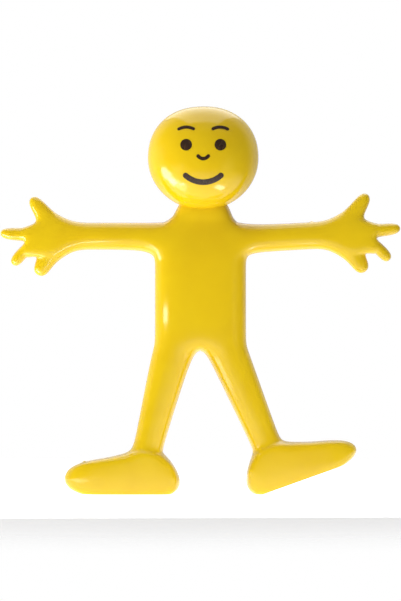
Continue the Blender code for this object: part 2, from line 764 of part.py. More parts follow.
def build_bore(name, runs, order):
    """The channel that a whole wire lies in, from eyelet to eyelet, as one cutter."""
    path = []
    for run, forwards in order:
        points = runs["wire_" + run] if forwards else list(reversed(runs["wire_" + run]))
        if path:
            points = points[1:]
        path += points
    path = trimmed(path, -WIRE_CLEARANCE, -WIRE_CLEARANCE)
    return make_cutter(name, make_tube(path, WIRE_DIAMETER / 2 + WIRE_CLEARANCE))


# Face print


def on_head(x, z, lift):
    """The point of the head's front at x, z from its middle, lifted off it by a distance."""
    radii = HEAD_RADII + Vector((lift, lift, lift))
    fullness = fullness_at(z)
    girth = (1 - (abs(z) / radii.z) ** fullness) ** (2 / fullness)
    return HEAD_CENTRE + Vector((x, -radii.y * math.sqrt(girth - (x / radii.x) ** 2), z))


def print_piece(name, rows, material):
    """A film of ink on the head from rows of points across it, each row as long as the next."""
    body = bmesh.new()
    skins = []
    for lift in (GAP, GAP + PRINT_THICKNESS):
        skins.append([[body.verts.new(on_head(x, z, lift)) for x, z in row] for row in rows])
    under, over = skins
    last_row = len(rows) - 1
    last_spot = len(rows[0]) - 1
    for film in skins:
        for lower, upper in zip(film, film[1:]):
            for k in range(last_spot):
                body.faces.new((lower[k], lower[k + 1], upper[k + 1], upper[k]))
    for row in range(last_row):
        for k in (0, last_spot):
            body.faces.new((under[row][k], under[row + 1][k], over[row + 1][k], over[row][k]))
    for k in range(last_spot):
        for row in (0, last_row):
            body.faces.new((under[row][k], under[row][k + 1], over[row][k + 1], over[row][k]))
    bmesh.ops.recalc_face_normals(body, faces=body.faces)
    return make_object(name, body, material)


def stroke_rows(centre, radius, arc, width, steps):
    """Rows along an arc of ink with rounded ends, from one angle to another."""
    rows = []
    start, stop = arc
    end_turn = math.degrees(width / 2 / radius)
    ends = [(end_turn * math.cos(turn), math.sin(turn)) for turn in map(math.radians, STROKE_END_TURNS)]
    shape = [(start - reach, share) for reach, share in ends]
    shape += [(start + (stop - start) * step / steps, 1.0) for step in range(steps + 1)]
    shape += [(stop + reach, share) for reach, share in reversed(ends)]
    for angle, share in shape:
        turn = math.radians(angle)
        row = []
        for side in (-1, 0, 1):
            reach = radius + side * share * width / 2
            row.append((centre[0] + reach * math.cos(turn), centre[1] + reach * math.sin(turn)))
        rows.append(row)
    return rows


def dot_rows(centre, radius, steps=8):
    """Rows across a round dot of ink, which starts and ends in a short flat."""
    rows = []
    for step in range(steps + 1):
        turn = math.pi * (2 * step + 1) / (2 * steps + 2)
        high = radius * math.cos(turn)
        reach = radius * math.sin(turn)
        rows.append([(centre[0] + share * reach, centre[1] + high) for share in (-1.0, 0.0, 1.0)])
    return rows


def build_face(material):
    for name, side in SIDES.items():
        print_piece("eye_" + name, dot_rows((side * EYE_OUT, EYE_UP), EYE_RADIUS), material)
        brow = stroke_rows((side * EYE_OUT, BROW_UP), BROW_RADIUS, BROW_ARC, BROW_WIDTH, 5)
        print_piece("brow_" + name, brow, material)
    nose = stroke_rows((0.0, NOSE_RADIUS - NOSE_DOWN), NOSE_RADIUS, NOSE_ARC, NOSE_WIDTH, 5)
    print_piece("nose", nose, material)
    mouth = stroke_rows((0.0, MOUTH_UP), MOUTH_RADIUS, MOUTH_ARC, MOUTH_WIDTH, 12)
    print_piece("mouth", mouth, material)


def build_doll():
    clear_scene()
    vinyl = make_material("yellow_vinyl", (0.85, 0.60, 0.02), 0.25)
    steel = make_material("steel_wire", (0.55, 0.56, 0.58), 0.35, 1.0)
    ink = make_material("face_ink", (0.03, 0.015, 0.01), 0.35)
    bends = make_bends()
    skin = build_skin()
    pieces = build_stretches(skin, bends, vinyl)
    pieces.update(build_zones(skin, bends, vinyl))
    skin.free()
    pieces["head"] = make_object("head", head_ball(0.0), vinyl)
    seat_head_on_neck(pieces["head"], pieces["neck"])
    arm_runs = arm_wire_runs(bends)
    body_runs = body_wire_runs(bends)
    build_wires(arm_runs, steel)
    build_wires(body_runs, steel)
    arm_bore = build_bore("arm_bore", arm_runs, ARM_WIRE_ORDER)
    body_bore = build_bore("body_bore", body_runs, BODY_WIRE_ORDER)
    arm_pieces = ("chest", "shoulder_", "upper_arm_", "elbow_", "forearm_", "wrist_", "hand_")
    for name, piece in pieces.items():
        holds_arm_wire = name.startswith(arm_pieces)
        if holds_arm_wire:
            cut_out(piece, arm_bore)
        if name == "chest" or not holds_arm_wire:
            cut_out(piece, body_bore)
    build_face(ink)


build_doll()
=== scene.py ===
"""Bendy doll: soft yellow vinyl moulded over bendable steel wires, with a ball head and a printed face.

Metres, +Z up, front towards -Y. Left and right are the doll's own sides, so its right hand is at -X.
"""

import json
import math

import bmesh
import bpy
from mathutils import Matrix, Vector

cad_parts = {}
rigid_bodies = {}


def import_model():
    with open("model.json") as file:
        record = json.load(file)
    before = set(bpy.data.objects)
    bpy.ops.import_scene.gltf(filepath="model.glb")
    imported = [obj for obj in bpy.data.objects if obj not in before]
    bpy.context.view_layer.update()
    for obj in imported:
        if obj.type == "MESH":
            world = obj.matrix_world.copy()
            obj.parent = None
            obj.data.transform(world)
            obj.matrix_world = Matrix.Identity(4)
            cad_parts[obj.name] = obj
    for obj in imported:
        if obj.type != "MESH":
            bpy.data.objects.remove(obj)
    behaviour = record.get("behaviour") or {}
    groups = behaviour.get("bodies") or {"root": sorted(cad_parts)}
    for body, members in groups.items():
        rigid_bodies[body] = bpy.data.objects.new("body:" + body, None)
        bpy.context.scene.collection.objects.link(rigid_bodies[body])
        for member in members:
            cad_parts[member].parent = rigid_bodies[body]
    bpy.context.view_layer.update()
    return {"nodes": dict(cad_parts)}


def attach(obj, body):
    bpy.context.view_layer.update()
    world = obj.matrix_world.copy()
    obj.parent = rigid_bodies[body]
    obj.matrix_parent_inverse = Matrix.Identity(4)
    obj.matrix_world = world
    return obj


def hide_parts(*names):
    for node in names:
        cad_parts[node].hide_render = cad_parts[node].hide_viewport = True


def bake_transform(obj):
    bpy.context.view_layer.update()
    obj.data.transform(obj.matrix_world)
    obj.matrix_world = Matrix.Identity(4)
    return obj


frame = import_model()

# Camera
# Level with the middle of the doll and square to its front, as the photograph looks at it.
# A long lens keeps both hands and the head at one scale.

CAMERA_DISTANCE = 0.90
CAMERA_HEIGHT = 0.0503
VIEW_WIDTH = 0.1043
SENSOR_WIDTH = 36.0  # millimetres, as Blender gives it

bpy.ops.object.camera_add(location=(0.0, -CAMERA_DISTANCE, CAMERA_HEIGHT), rotation=(math.pi / 2, 0.0, 0.0))
camera = bpy.context.object
camera.name = "camera"
camera.data.sensor_fit = "HORIZONTAL"
camera.data.sensor_width = SENSOR_WIDTH
camera.data.lens = SENSOR_WIDTH * CAMERA_DISTANCE / VIEW_WIDTH
bpy.context.scene.camera = camera


# Armature wires
# Two soft steel wires, drawn 1.2 mm thick and cut to length: one from palm to palm, one from foot to foot
# and over through the head, their ends turned into eyelets. They keep the form of the frame's own nodes.

STEEL_COLOUR = (0.42, 0.42, 0.44, 1.0)
STEEL_DULL_COLOUR = (0.25, 0.24, 0.24, 1.0)
SCRATCH_TURNS = ((0.3, 0.9, 0.4), (1.2, 0.2, 2.1))  # two sets of scratches cross each other
SCRATCH_STRETCH = (1.0, 1.0, 0.04)  # a low scale along one axis draws the noise out to lines
SCRATCH_EDGE = (0.66, 0.72)  # the noise shows as a scratch above these values


def node_maker(tree):
    """A function that adds a node to the tree with its settings, its plain values and its links."""

    def add(kind, links=None, values=None, **settings):
        node = tree.nodes.new(kind)
        for key, value in settings.items():
            setattr(node, key, value)
        for key, value in (values or {}).items():
            node.inputs[key].default_value = value
        for key, source in (links or {}).items():
            tree.links.new(source, node.inputs[key])
        return node

    return add


def new_group(name, inputs, outputs):
    """An empty shader group with named sockets: its tree, its input node and its output node."""
    group = bpy.data.node_groups.new(name, "ShaderNodeTree")
    for label, kind, value in inputs:
        socket = group.interface.new_socket(label, in_out="INPUT", socket_type=kind)
        if value is not None:
            socket.default_value = value
    for label, kind in outputs:
        group.interface.new_socket(label, in_out="OUTPUT", socket_type=kind)
    return group, group.nodes.new("NodeGroupInput"), group.nodes.new("NodeGroupOutput")


def build_scuffs_group():
    """Fine scratches and rubbed patches from handling, on Object coordinates."""
    group, given, result = new_group(
        "handling_scuffs",
        (
            ("Size", "NodeSocketFloat", 600.0),
            ("Amount", "NodeSocketFloat", 0.5),
        ),
        (("Scratches", "NodeSocketFloat"), ("Rubbed", "NodeSocketFloat")),
    )
    add = node_maker(group)
    place_on = add("ShaderNodeTexCoord")
    sets = []
    for turn in SCRATCH_TURNS:
        tilted = add(
            "ShaderNodeMapping",
            {"Vector": place_on.outputs["Object"]},
            {"Rotation": turn, "Scale": SCRATCH_STRETCH},
        )
        lines = add(
            "ShaderNodeTexNoise",
            {"Vector": tilted.outputs["Vector"], "Scale": given.outputs["Size"]},
            {"Detail": 2.0, "Roughness": 0.6, "Distortion": 0.4},
        )
        thin = add("ShaderNodeValToRGB", {"Fac": lines.outputs["Fac"]})
        for stop, position in zip(thin.color_ramp.elements, SCRATCH_EDGE):
            stop.position = position
        sets.append(thin)
    both = add(
        "ShaderNodeMath",
        {0: sets[0].outputs["Color"], 1: sets[1].outputs["Color"]},
        operation="MAXIMUM",
    )
    patches = add(
        "ShaderNodeTexNoise",
        {"Vector": place_on.outputs["Object"]},
        {"Scale": 130.0, "Detail": 3.0, "Roughness": 0.55},
    )
    worn = add(
        "ShaderNodeMapRange",
        {"Value": patches.outputs["Fac"]},
        {"From Min": 0.42, "From Max": 0.68},
    )
    shown = add(
        "ShaderNodeMath",
        {0: both.outputs[0], 1: worn.outputs["Result"]},
        operation="MULTIPLY",
    )
    scratched = add(
        "ShaderNodeMath",
        {0: shown.outputs[0], 1: given.outputs["Amount"]},
        operation="MULTIPLY",
        use_clamp=True,
    )
    rubbed = add(
        "ShaderNodeMath",
        {0: worn.outputs["Result"], 1: given.outputs["Amount"]},
        operation="MULTIPLY",
        use_clamp=True,
    )
    group.links.new(scratched.outputs[0], result.inputs["Scratches"])
    group.links.new(rubbed.outputs[0], result.inputs["Rubbed"])
    return group


def new_material(name):
    """A material with a bare Principled shader: the material, its node adder and its shader."""
    material = bpy.data.materials.new(name)
    material.use_nodes = True
    return material, node_maker(material.node_tree), material.node_tree.nodes["Principled BSDF"]


def mix_colours(add, amount, first, second):
    """A colour that goes from the first to the second as the amount goes from 0 to 1."""
    # Sockets 0, 6 and 7 and output 2 are those of the Mix node in its colour form
    return add("ShaderNodeMix", {0: amount}, {6: first, 7: second}, data_type="RGBA").outputs[2]


def link_surface(material, shader, colour, roughness, normal):
    """Link what varies over a surface to its shader."""
    links = material.node_tree.links
    links.new(colour, shader.inputs["Base Color"])
    links.new(roughness, shader.inputs["Roughness"])
    links.new(normal, shader.inputs["Normal"])


def build_steel():
    """Drawn steel wire: fine scratches, dull patches and a soft shine."""
    material, add, shader = new_material("drawn_steel")
    scuffs = add("ShaderNodeGroup", node_tree=scuffs_group, values={"Size": 900.0, "Amount": 0.8})
    tone = mix_colours(add, scuffs.outputs["Rubbed"], STEEL_COLOUR, STEEL_DULL_COLOUR)
    gloss = add(
        "ShaderNodeMapRange",
        {"Value": scuffs.outputs["Rubbed"]},
        {"To Min": 0.28, "To Max": 0.5},
    )
    bump = add(
        "ShaderNodeBump",
        {"Height": scuffs.outputs["Scratches"]},
        {"Strength": 0.4, "Distance": 0.00002},
    )
    link_surface(material, shader, tone, gloss.outputs["Result"], bump.outputs["Normal"])
    shader.inputs["Metallic"].default_value = 1.0
    return material


scuffs_group = build_scuffs_group()
steel = build_steel()
for name, node in frame["nodes"].items():
    if name.startswith("wire_"):
        node.data.materials.clear()
        node.data.materials.append(steel)


# Body moulding
# The doll from palms to soles is one moulding of soft yellow vinyl (PVC), injected round the wires in a
# two-part mould, so a fine parting line runs round its outline. It is box modelled from a block for the
# belly, smoothed, and divided square to the limbs where one bend ends and the next begins.

BACK = Vector((0.0, 1.0, 0.0))
UP = Vector((0.0, 0.0, 1.0))
RIGHT = -1
LEFT = 1
SIDES = {"right": RIGHT, "left": LEFT}
BODY_BACK = 0.0015  # the trunk and limbs lie this far behind the head's middle
CHEST_WIDTH = 0.0236
CHEST_DEPTH = 0.0100
CHEST_LENGTH = 0.0284  # middle of the arms down to the crotch
WAIST_BELOW_ARMS = 0.0160
NECK_WIDTH = 0.0118
NECK_DEPTH = 0.0088
NECK_ROOT_WIDTH = 0.0150
NECK_ROOT_RISE = 0.0014
NECK_FOOT_WIDTH = 0.0194  # where the neck's slope meets the arms
NECK_CREASE = 0.85
HEAD_OVER_SHOULDERS = 0.0033
HEAD_ASIDE = 0.0007
NECK_IN_HEAD = 0.0034
ARM_SPAN = 0.1051
ARM_DIAMETER = 0.0070
ARM_SHARES = (0.18, 0.45, 0.37)  # chest to shoulder, shoulder to elbow, elbow to wrist
ARMPIT_FILLET = 0.0014
HAND_THICKNESS = 0.0058
PALM_LENGTH = 0.0148
PALM_WIDTH = 0.0080
PALM_DROP = 0.0016
FINGER_THICKNESS = 0.0038
HIP_FLARE = 0.0020
HIP_BELOW_CROTCH = 0.0036
THIGH_WIDTH = 0.0101
THIGH_DEPTH = 0.0088
ANKLE_WIDTH = 0.0077
ANKLE_DEPTH = 0.0078
LEG_LENGTH = 0.0242
ANKLE_ABOVE_SOLE = 0.01158
ANKLE_ZONE = 0.0018
FOOT_LENGTH = 0.0297
FOOT_WIDTH = 0.0104
ANKLE_FROM_HEEL = 0.0082
TOE_WIDTH = 0.0088
LEDGE_DROP = 0.0009  # the ledge lies this far below the ankle's centre
LEDGE_FORWARD = 0.0003  # and its middle this far from the ankle towards the toe
LEDGE_LENGTH = 0.0096
FOOT_CREASE = 0.40
HEEL_HEIGHT = 0.0048
TOE_LIFT = 0.0012
HEEL_LIFT = 0.0020
SOLE_TRIM = 0.0010  # the foot is smoothed this much too deep, and its sole then cut flat
RING_SHARE = 0.925  # a smoothed four-sided ring keeps this share of its size
TRUNK_SHARE = 0.958  # the smoothed trunk keeps this share of its width
TIGHT_SHARE = 1.0  # a ring with tight corners keeps its size
SMOOTHINGS = 4
SAME_PLACE = 0.000001  # points closer than this lie in one place
MOSTLY = 0.5  # a direction with this share along another mostly follows it
# Digits: root in shares of the palm's length and width, reach to the tip, width
DIGITS = {
    "thumb": ((0.63, 0.60), (0.0043, 0.0056), 0.0038),
    "first_finger": ((1.06, 0.05), (0.0061, 0.0004), 0.0031),
    "second_finger": ((1.05, -0.53), (0.0028, -0.0034), 0.0030),
    "last_finger": ((0.62, -0.72), (0.0026, -0.0047), 0.0042),
}
ARM_RISE = {RIGHT: 0.0, LEFT: math.radians(3.0)}
ARM_DROP = {RIGHT: 0.0, LEFT: 0.0006}
LEG_SPREAD = {RIGHT: math.radians(14.0), LEFT: math.radians(22.7)}
FOOT_PITCH = {RIGHT: 0.0, LEFT: math.radians(19.7)}
TOE_HEIGHT = {RIGHT: 0.0076, LEFT: 0.0057}
HIP_HEIGHT = ANKLE_ABOVE_SOLE + LEG_LENGTH * math.cos(LEG_SPREAD[RIGHT])
CROTCH_HEIGHT = HIP_HEIGHT + HIP_BELOW_CROTCH
ARM_HEIGHT = CROTCH_HEIGHT + CHEST_LENGTH
ARM_TOP = ARM_HEIGHT + ARM_DIAMETER / 2
NECK_TOP = ARM_TOP + HEAD_OVER_SHOULDERS + NECK_IN_HEAD
HIP_OUT = CHEST_WIDTH / 4 + HIP_FLARE
FINGER_ROOT_SHARES, FINGER_REACH = DIGITS["first_finger"][:2]
HAND_LENGTH = PALM_LENGTH * FINGER_ROOT_SHARES[0] + FINGER_REACH[0]
ARM_LENGTH = ARM_SPAN / 2 - CHEST_WIDTH / 2 - HAND_LENGTH
SHOULDER_OUT = CHEST_WIDTH / 2 + ARM_LENGTH * ARM_SHARES[0]
ELBOW_OUT = SHOULDER_OUT + ARM_LENGTH * ARM_SHARES[1]
WRIST_OUT = ELBOW_OUT + ARM_LENGTH * ARM_SHARES[2]
WRIST_ZONE_SHARE = 0.10
WRIST_ZONE = ARM_LENGTH * WRIST_ZONE_SHARE


def place(x, z):
    """A point in the plane of the trunk and limbs."""
    return Vector((x, BODY_BACK, z))


def arm_direction(side):
    """Direction of an arm, from the chest to the hand."""
    return Vector((side * math.cos(ARM_RISE[side]), 0.0, math.sin(ARM_RISE[side])))


def arm_point(side, out):
    """A point on an arm's middle line, so far out from the doll's middle."""
    shoulder = place(side * SHOULDER_OUT, ARM_HEIGHT - ARM_DROP[side])
    return shoulder + arm_direction(side) * (out - SHOULDER_OUT)


def leg_direction(side):
    """Direction of a leg, from the hip to the ankle."""
    return Vector((side * math.sin(LEG_SPREAD[side]), 0.0, -math.cos(LEG_SPREAD[side])))


def leg_point(side, down):
    """A point on a leg's middle line, so far down from the hip."""
    return place(side * HIP_OUT, HIP_HEIGHT) + leg_direction(side) * down


def foot_axes(side):
    """Directions from heel to toe, and up from the sole."""
    pitch = FOOT_PITCH[side]
    forward = Vector((side * math.cos(pitch), 0.0, math.sin(pitch)))
    return forward, Vector((-side * math.sin(pitch), 0.0, math.cos(pitch)))


def foot_point(side, from_heel, above_sole):
    """A point in the middle plane of a foot, measured along and square to its sole."""
    forward, upward = foot_axes(side)
    ankle = leg_point(side, LEG_LENGTH)
    return ankle + forward * (from_heel - ANKLE_FROM_HEEL) + upward * (above_sole - ANKLE_ABOVE_SOLE)


def pick_object(piece):
    """Select one object alone and make it active."""
    if bpy.context.object and bpy.context.object.mode == "EDIT":
        bpy.ops.object.mode_set(mode="OBJECT")
    bpy.ops.object.select_all(action="DESELECT")
    piece.select_set(True)
    bpy.context.view_layer.objects.active = piece


def pick_faces(wanted):
    """In edit mode, select the faces for which wanted(centre, normal) holds."""
    bpy.ops.mesh.select_all(action="DESELECT")
    shape = bmesh.from_edit_mesh(bpy.context.object.data)
    for face in shape.faces:
        if wanted(face.calc_center_median(), face.normal):
            face.select_set(True)
    bmesh.update_edit_mesh(bpy.context.object.data)


def pick_nearest_face(point):
    """In edit mode, select the face whose centre is nearest to a point."""
    shape = bmesh.from_edit_mesh(bpy.context.object.data)
    bpy.ops.mesh.select_all(action="DESELECT")
    nearest = min(shape.faces, key=lambda face: (face.calc_center_median() - point).length)
    nearest.select_set(True)
    bmesh.update_edit_mesh(bpy.context.object.data)


def pick_edges(wanted):
    """In edit mode, select the edges for which wanted(edge) holds."""
    bpy.ops.mesh.select_mode(type="EDGE")
    bpy.ops.mesh.select_all(action="DESELECT")
    shape = bmesh.from_edit_mesh(bpy.context.object.data)
    for edge in shape.edges:
        if wanted(edge):
            edge.select_set(True)
    bmesh.update_edit_mesh(bpy.context.object.data)


def grow(centre, along, width, depth, share=RING_SHARE):
    """Extrude the selected face to a rectangle about a new centre, square to a direction."""
    bpy.ops.mesh.extrude_region_move()
    shape = bmesh.from_edit_mesh(bpy.context.object.data)
    corners = [vert for vert in shape.verts if vert.select]
    middle = sum((corner.co for corner in corners), Vector()) / len(corners)
    across = along.cross(BACK)
    for corner in corners:
        offset = corner.co - middle
        aside = math.copysign(width / 2 / share, offset.dot(across))
        deep = math.copysign(depth / 2 / share, offset.y)
        corner.co = centre + across * aside + BACK * deep
    bmesh.update_edit_mesh(bpy.context.object.data)


def tighten(wanted, crease):
    """In edit mode, crease the edges that wanted picks, so that they stay tighter when smoothed."""
    pick_edges(wanted)
    bpy.ops.transform.edge_crease(value=crease)
    bpy.ops.mesh.select_mode(type="FACE")


def raise_trunk(row, next_row):
    """Extrude the trunk's top face pair from one row to the next.

    A row is a height, half a width, half a depth and a shift aside.
    """
    height, wide, deep, aside = row
    new_height, new_wide, new_deep, new_aside = next_row
    pick_faces(lambda centre, normal: centre.z > height - SAME_PLACE and normal.z > MOSTLY)
    rise = (new_aside - aside, 0.0, new_height - height)
    bpy.ops.mesh.extrude_region_move(TRANSFORM_OT_translate={"value": rise})
    bpy.ops.transform.resize(
        value=(new_wide / wide, new_deep / deep, 1.0), center_override=place(new_aside, new_height)
    )


def build_trunk():
    """The trunk as a block for the belly, drawn up row by row to the chest, shoulders and neck."""
    wide = CHEST_WIDTH / 2 / TRUNK_SHARE
    deep = CHEST_DEPTH / 2
    half_arm = ARM_DIAMETER / 2 / RING_SHARE
    belly_top = CROTCH_HEIGHT + CHEST_DEPTH / 2
    bpy.ops.mesh.primitive_cube_add(size=1.0, location=place(0.0, (CROTCH_HEIGHT + belly_top) / 2))
    cage = bpy.context.object
    cage.name = "moulding"
    cage.scale = (2 * wide, 2 * deep, belly_top - CROTCH_HEIGHT)
    bpy.ops.object.transform_apply(location=True, rotation=True, scale=True)
    bpy.ops.object.mode_set(mode="EDIT")
    bpy.ops.mesh.select_all(action="SELECT")
    bpy.ops.mesh.bisect(plane_co=place(0.0, 0.0), plane_no=(1.0, 0.0, 0.0))
    rows = (
        (belly_top, wide, deep, 0.0),
        (ARM_HEIGHT - half_arm - ARM_DIAMETER / 2, wide, deep, 0.0),
        (ARM_HEIGHT - half_arm - ARMPIT_FILLET, wide, deep, 0.0),
        (ARM_HEIGHT + half_arm, NECK_FOOT_WIDTH / 2, half_arm, 0.0),
        (ARM_TOP + NECK_ROOT_RISE, NECK_ROOT_WIDTH / 2 / TRUNK_SHARE, NECK_DEPTH / 2, HEAD_ASIDE),
        (NECK_TOP, NECK_WIDTH / 2 / TRUNK_SHARE, NECK_DEPTH / 2, HEAD_ASIDE),
    )
    for row, next_row in zip(rows, rows[1:]):
        raise_trunk(row, next_row)
    return cage


def build_arm(side):
    """An arm drawn out of the side of the chest, with a palm, a thumb and three fingers."""
    arm = arm_direction(side)
    across = Vector((-side * arm.z, 0.0, side * arm.x))
    wrist = arm_point(side, WRIST_OUT)
    pick_nearest_face(place(side * CHEST_WIDTH / 2, ARM_HEIGHT))
    grow(arm_point(side, SHOULDER_OUT), arm, ARM_DIAMETER, ARM_DIAMETER)
    grow(arm_point(side, WRIST_OUT - WRIST_ZONE), arm, ARM_DIAMETER, ARM_DIAMETER)
    grow(wrist + arm * WRIST_ZONE, arm, ARM_DIAMETER, HAND_THICKNESS)
    grow(wrist + arm * PALM_LENGTH - across * PALM_DROP, arm, PALM_WIDTH, HAND_THICKNESS)
    shape = bmesh.from_edit_mesh(bpy.context.object.data)
    end = next(face for face in shape.faces if face.select)
    bpy.ops.mesh.select_all(action="DESELECT")
    for edge in end.edges:
        if abs(edge.verts[0].co.y - edge.verts[1].co.y) < HAND_THICKNESS / 2:
            edge.select_set(True)
    bmesh.update_edit_mesh(bpy.context.object.data)
    bpy.ops.mesh.subdivide(number_cuts=1)
    palm_middle = (WRIST_ZONE + PALM_LENGTH) / 2
    half_palm = PALM_WIDTH / 2
    starts = {
        "thumb": (palm_middle, half_palm - PALM_DROP / 2),
        "first_finger": (PALM_LENGTH, half_palm / 2 - PALM_DROP),
        "second_finger": (PALM_LENGTH, -half_palm / 2 - PALM_DROP),
        "last_finger": (palm_middle, -half_palm - PALM_DROP / 2),
    }
    for digit, (root_shares, reach, width) in DIGITS.items():
        start = starts[digit]
        root = wrist + arm * PALM_LENGTH * root_shares[0] + across * PALM_WIDTH * root_shares[1]
        tip = root + arm * reach[0] + across * reach[1]
        direction = (tip - root).normalized()
        pick_nearest_face(wrist + arm * start[0] + across * start[1])
        grow(root, direction, width, FINGER_THICKNESS)
        grow(tip, direction, width, FINGER_THICKNESS)


def build_leg(side):
    """A leg drawn out of its half of the belly's underside, down to the ankle."""
    leg = leg_direction(side)
    pick_nearest_face(place(side * CHEST_WIDTH / 4, CROTCH_HEIGHT))
    grow(leg_point(side, 0.0), leg, THIGH_WIDTH, THIGH_DEPTH)
    grow(leg_point(side, LEG_LENGTH - 2 * ANKLE_ZONE), leg, ANKLE_WIDTH, ANKLE_DEPTH)
    grow(leg_point(side, LEG_LENGTH), leg, ANKLE_WIDTH, ANKLE_DEPTH)


def build_foot(side):
    """A long foot with a heel, deeper than the ankle, so that a ledge runs round it."""
    forward, upward = foot_axes(side)
    ledge = ANKLE_ABOVE_SOLE - LEDGE_DROP
    ledge_middle = ANKLE_FROM_HEEL + LEDGE_FORWARD
    toe_height = TOE_HEIGHT[side]
    grow(foot_point(side, ledge_middle, ledge), -upward, LEDGE_LENGTH, FOOT_WIDTH, TIGHT_SHARE)
    grow(foot_point(side, ledge_middle, -SOLE_TRIM), -upward, LEDGE_LENGTH, FOOT_WIDTH, TIGHT_SHARE)
    half_height = (ledge - SOLE_TRIM) / 2
    arch = (ledge_middle + FOOT_LENGTH) / 2
    instep = (ledge + toe_height) / 2
    pick_nearest_face(foot_point(side, ledge_middle + LEDGE_LENGTH / 2, half_height))
    instep_middle = foot_point(side, arch, (instep - SOLE_TRIM) / 2)
    grow(instep_middle, forward, instep + SOLE_TRIM, FOOT_WIDTH, TIGHT_SHARE)
    toe = foot_point(side, FOOT_LENGTH + SOLE_TRIM, (toe_height + TOE_LIFT - SOLE_TRIM) / 2)
    grow(toe, forward, toe_height - TOE_LIFT + SOLE_TRIM, TOE_WIDTH, TIGHT_SHARE)
    pick_nearest_face(foot_point(side, ledge_middle - LEDGE_LENGTH / 2, half_height))
    heel = foot_point(side, -SOLE_TRIM / 2, (HEEL_HEIGHT + HEEL_LIFT - SOLE_TRIM) / 2)
    grow(heel, -forward, HEEL_HEIGHT - HEEL_LIFT + SOLE_TRIM, FOOT_WIDTH, TIGHT_SHARE)
    ankle = foot_point(side, ANKLE_FROM_HEEL, ANKLE_ABOVE_SOLE)

    def runs_along_foot(edge):
        below = all((vert.co - ankle).dot(upward) < -LEDGE_DROP / 2 for vert in edge.verts)
        near = (edge.verts[0].co - ankle).length < FOOT_LENGTH
        span = edge.verts[1].co - edge.verts[0].co
        return below and near and abs(span.dot(forward)) > span.length * MOSTLY

    tighten(runs_along_foot, FOOT_CREASE)


def meets_neck(edge):
    """Whether an edge of the cage lies where the neck's slope meets an arm."""
    at_foot = all(abs(abs(vert.co.x) - NECK_FOOT_WIDTH / 2) < SAME_PLACE for vert in edge.verts)
    return at_foot and all(vert.co.z > ARM_HEIGHT for vert in edge.verts)


def apply_modifier(piece, name, kind, **settings):
    """Add a modifier with its settings and apply it."""
    pick_object(piece)
    modifier = piece.modifiers.new(name, kind)
    for key, value in settings.items():
        setattr(modifier, key, value)
    bpy.ops.object.modifier_apply(modifier=name)


bpy.ops.object.select_all(action="DESELECT")
moulding = build_trunk()
for side in SIDES.values():
    build_arm(side)
    build_leg(side)
    build_foot(side)
tighten(meets_neck, NECK_CREASE)
bpy.ops.object.mode_set(mode="OBJECT")
apply_modifier(moulding, "rounding", "SUBSURF", levels=SMOOTHINGS, render_levels=SMOOTHINGS)

# The two faces of the mould meet in the doll's plane and leave a low ridge round the outline, and a small
# nub stands where each gate was broken off: on the left arm and on the right foot.
PARTING_HALF_WIDTH = 0.00014
PARTING_RISE = 0.00005
PARTING_STRIPS = 4
NUB_PLACES = ((0.0287, 0.0711), (-0.0302, 0.0085))
NUB_RISE = 0.00028
NUB_SPREAD = 0.0008
CUT_THRESHOLD = 0.0000001


def raise_parting_line(point, normal):
    """In edit mode, bevel the edges that lie in a plane and raise their middle line to a low ridge."""

    def lies_in_plane(edge):
        return all(abs((vert.co - point).dot(normal)) < SAME_PLACE for vert in edge.verts)

    pick_edges(lies_in_plane)
    bpy.ops.mesh.bevel(offset=PARTING_HALF_WIDTH, segments=PARTING_STRIPS, affect="EDGES")
    pick_edges(lies_in_plane)
    bpy.ops.transform.shrink_fatten(value=PARTING_RISE)


def pick_nearest_vertex(point):
    """In edit mode, select the vertex nearest to a point."""
    bpy.ops.mesh.select_mode(type="VERT")
    bpy.ops.mesh.select_all(action="DESELECT")
    shape = bmesh.from_edit_mesh(bpy.context.object.data)
    min(shape.verts, key=lambda vert: (vert.co - point).length).select_set(True)
    bmesh.update_edit_mesh(bpy.context.object.data)


def raise_nub(point):
    """In edit mode, draw the surface nearest to a point out to a small nub."""
    pick_nearest_vertex(point)
    bpy.ops.transform.shrink_fatten(
        value=NUB_RISE,
        use_proportional_edit=True,
        proportional_edit_falloff="SMOOTH",
        proportional_size=NUB_SPREAD,
    )


def trim_sole(point, outward, on_foot):
    """In edit mode, cut away what lies beyond a plane from the faces that on_foot picks."""
    bpy.ops.mesh.select_mode(type="FACE")
    pick_faces(lambda centre, normal: on_foot(centre))
    bpy.ops.mesh.bisect(
        plane_co=point, plane_no=outward, clear_outer=True, use_fill=True, threshold=CUT_THRESHOLD
    )


bpy.ops.object.mode_set(mode="EDIT")
raise_parting_line(place(0.0, 0.0), BACK)
for x, z in NUB_PLACES:
    raise_nub(place(x, z))
raised_sole = foot_point(LEFT, 0.0, 0.0)
raised_upward = foot_axes(LEFT)[1]
trim_sole(raised_sole, -raised_upward, lambda centre: centre.z < ANKLE_ABOVE_SOLE and centre.x > 0)
trim_sole(Vector(), -UP, lambda centre: centre.z < ANKLE_ABOVE_SOLE)
bpy.ops.mesh.select_all(action="SELECT")
bpy.ops.mesh.normals_make_consistent(inside=False)
bpy.ops.object.mode_set(mode="OBJECT")

VINYL_COLOUR = (0.85, 0.58, 0.006, 1.0)
VINYL_DEEP_COLOUR = (0.78, 0.49, 0.004, 1.0)
VINYL_IOR = 1.53


